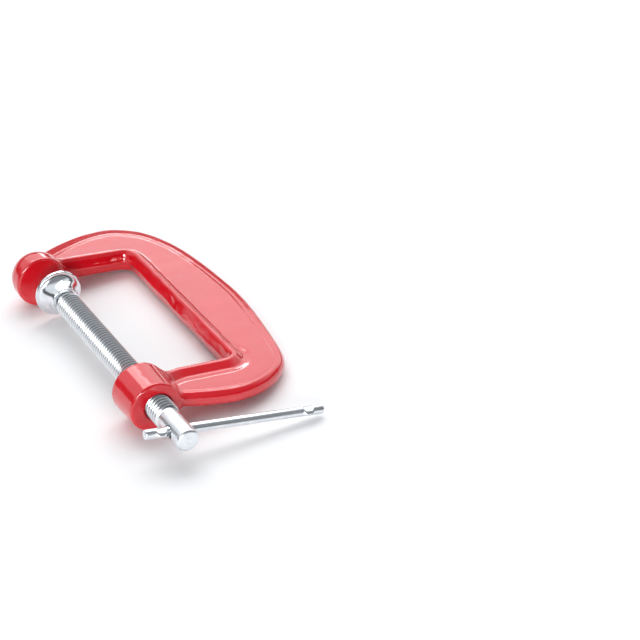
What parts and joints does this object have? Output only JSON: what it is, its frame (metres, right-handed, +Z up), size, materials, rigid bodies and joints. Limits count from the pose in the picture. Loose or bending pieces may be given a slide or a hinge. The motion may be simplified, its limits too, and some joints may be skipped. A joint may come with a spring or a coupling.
{
  "type": "c clamp",
  "caption": "C clamp with a cast C-shaped frame, a threaded screw with a sliding T-bar handle and a swivelling pad that presses work against the anvil.",
  "frame": {"origin": "middle of the underside of the clamp's box, as it lies on its side on a table", "axes": "+Y along the screw from the handle towards the anvil, +Z up from the table, +X from the screw towards the back of the frame; the frame's flat sides lean 7.41 degrees, down towards +X, because the clamp rests on its boss, its anvil and the edge of its rib"},
  "size_m": [0.1014, 0.205, 0.0276],
  "materials": {
    "red_paint": "glossy enamel over a cast surface",
    "zinc_plate": "bright zinc plating",
    "spring_steel": "plain spring steel"
  },
  "bodies": {
    "frame_body": {"frame": "red_paint"},
    "ring_body": {"pad_retaining_ring": "spring_steel"},
    "screw_body": {"screw": "zinc_plate"},
    "pad_body": {"swivel_pad": "zinc_plate"},
    "bar_body": {"handle_bar": "zinc_plate"}
  },
  "joints": [
    {"name": "screw_travel", "type": "slide", "parent": "frame_body", "child": "ring_body", "axis": [0, 1, 0], "range_m": [-0.0876, 0.0106]},
    {"name": "screw_turn", "type": "hinge", "parent": "ring_body", "child": "screw_body", "pos_m": [-0.0342, -0.09223, 0.01384], "axis": [0, 1, 0], "range_deg": [-14890, 1800]},
    {"name": "pad_tilt", "type": "hinge", "parent": "ring_body", "child": "pad_body", "pos_m": [-0.0342, 0.04157, 0.01384], "axis": [0.129, 0, 0.9916], "range_deg": [-6, 6]},
    {"name": "handle_slide", "type": "slide", "parent": "screw_body", "child": "bar_body", "axis": [0.9856, -0.0889, -0.144], "range_m": [-0.0548, 0]}
  ],
  "couplings": [
    {"joint": "screw_travel", "follows": "screw_turn", "m_per_rad": 0.00033688}
  ]
}
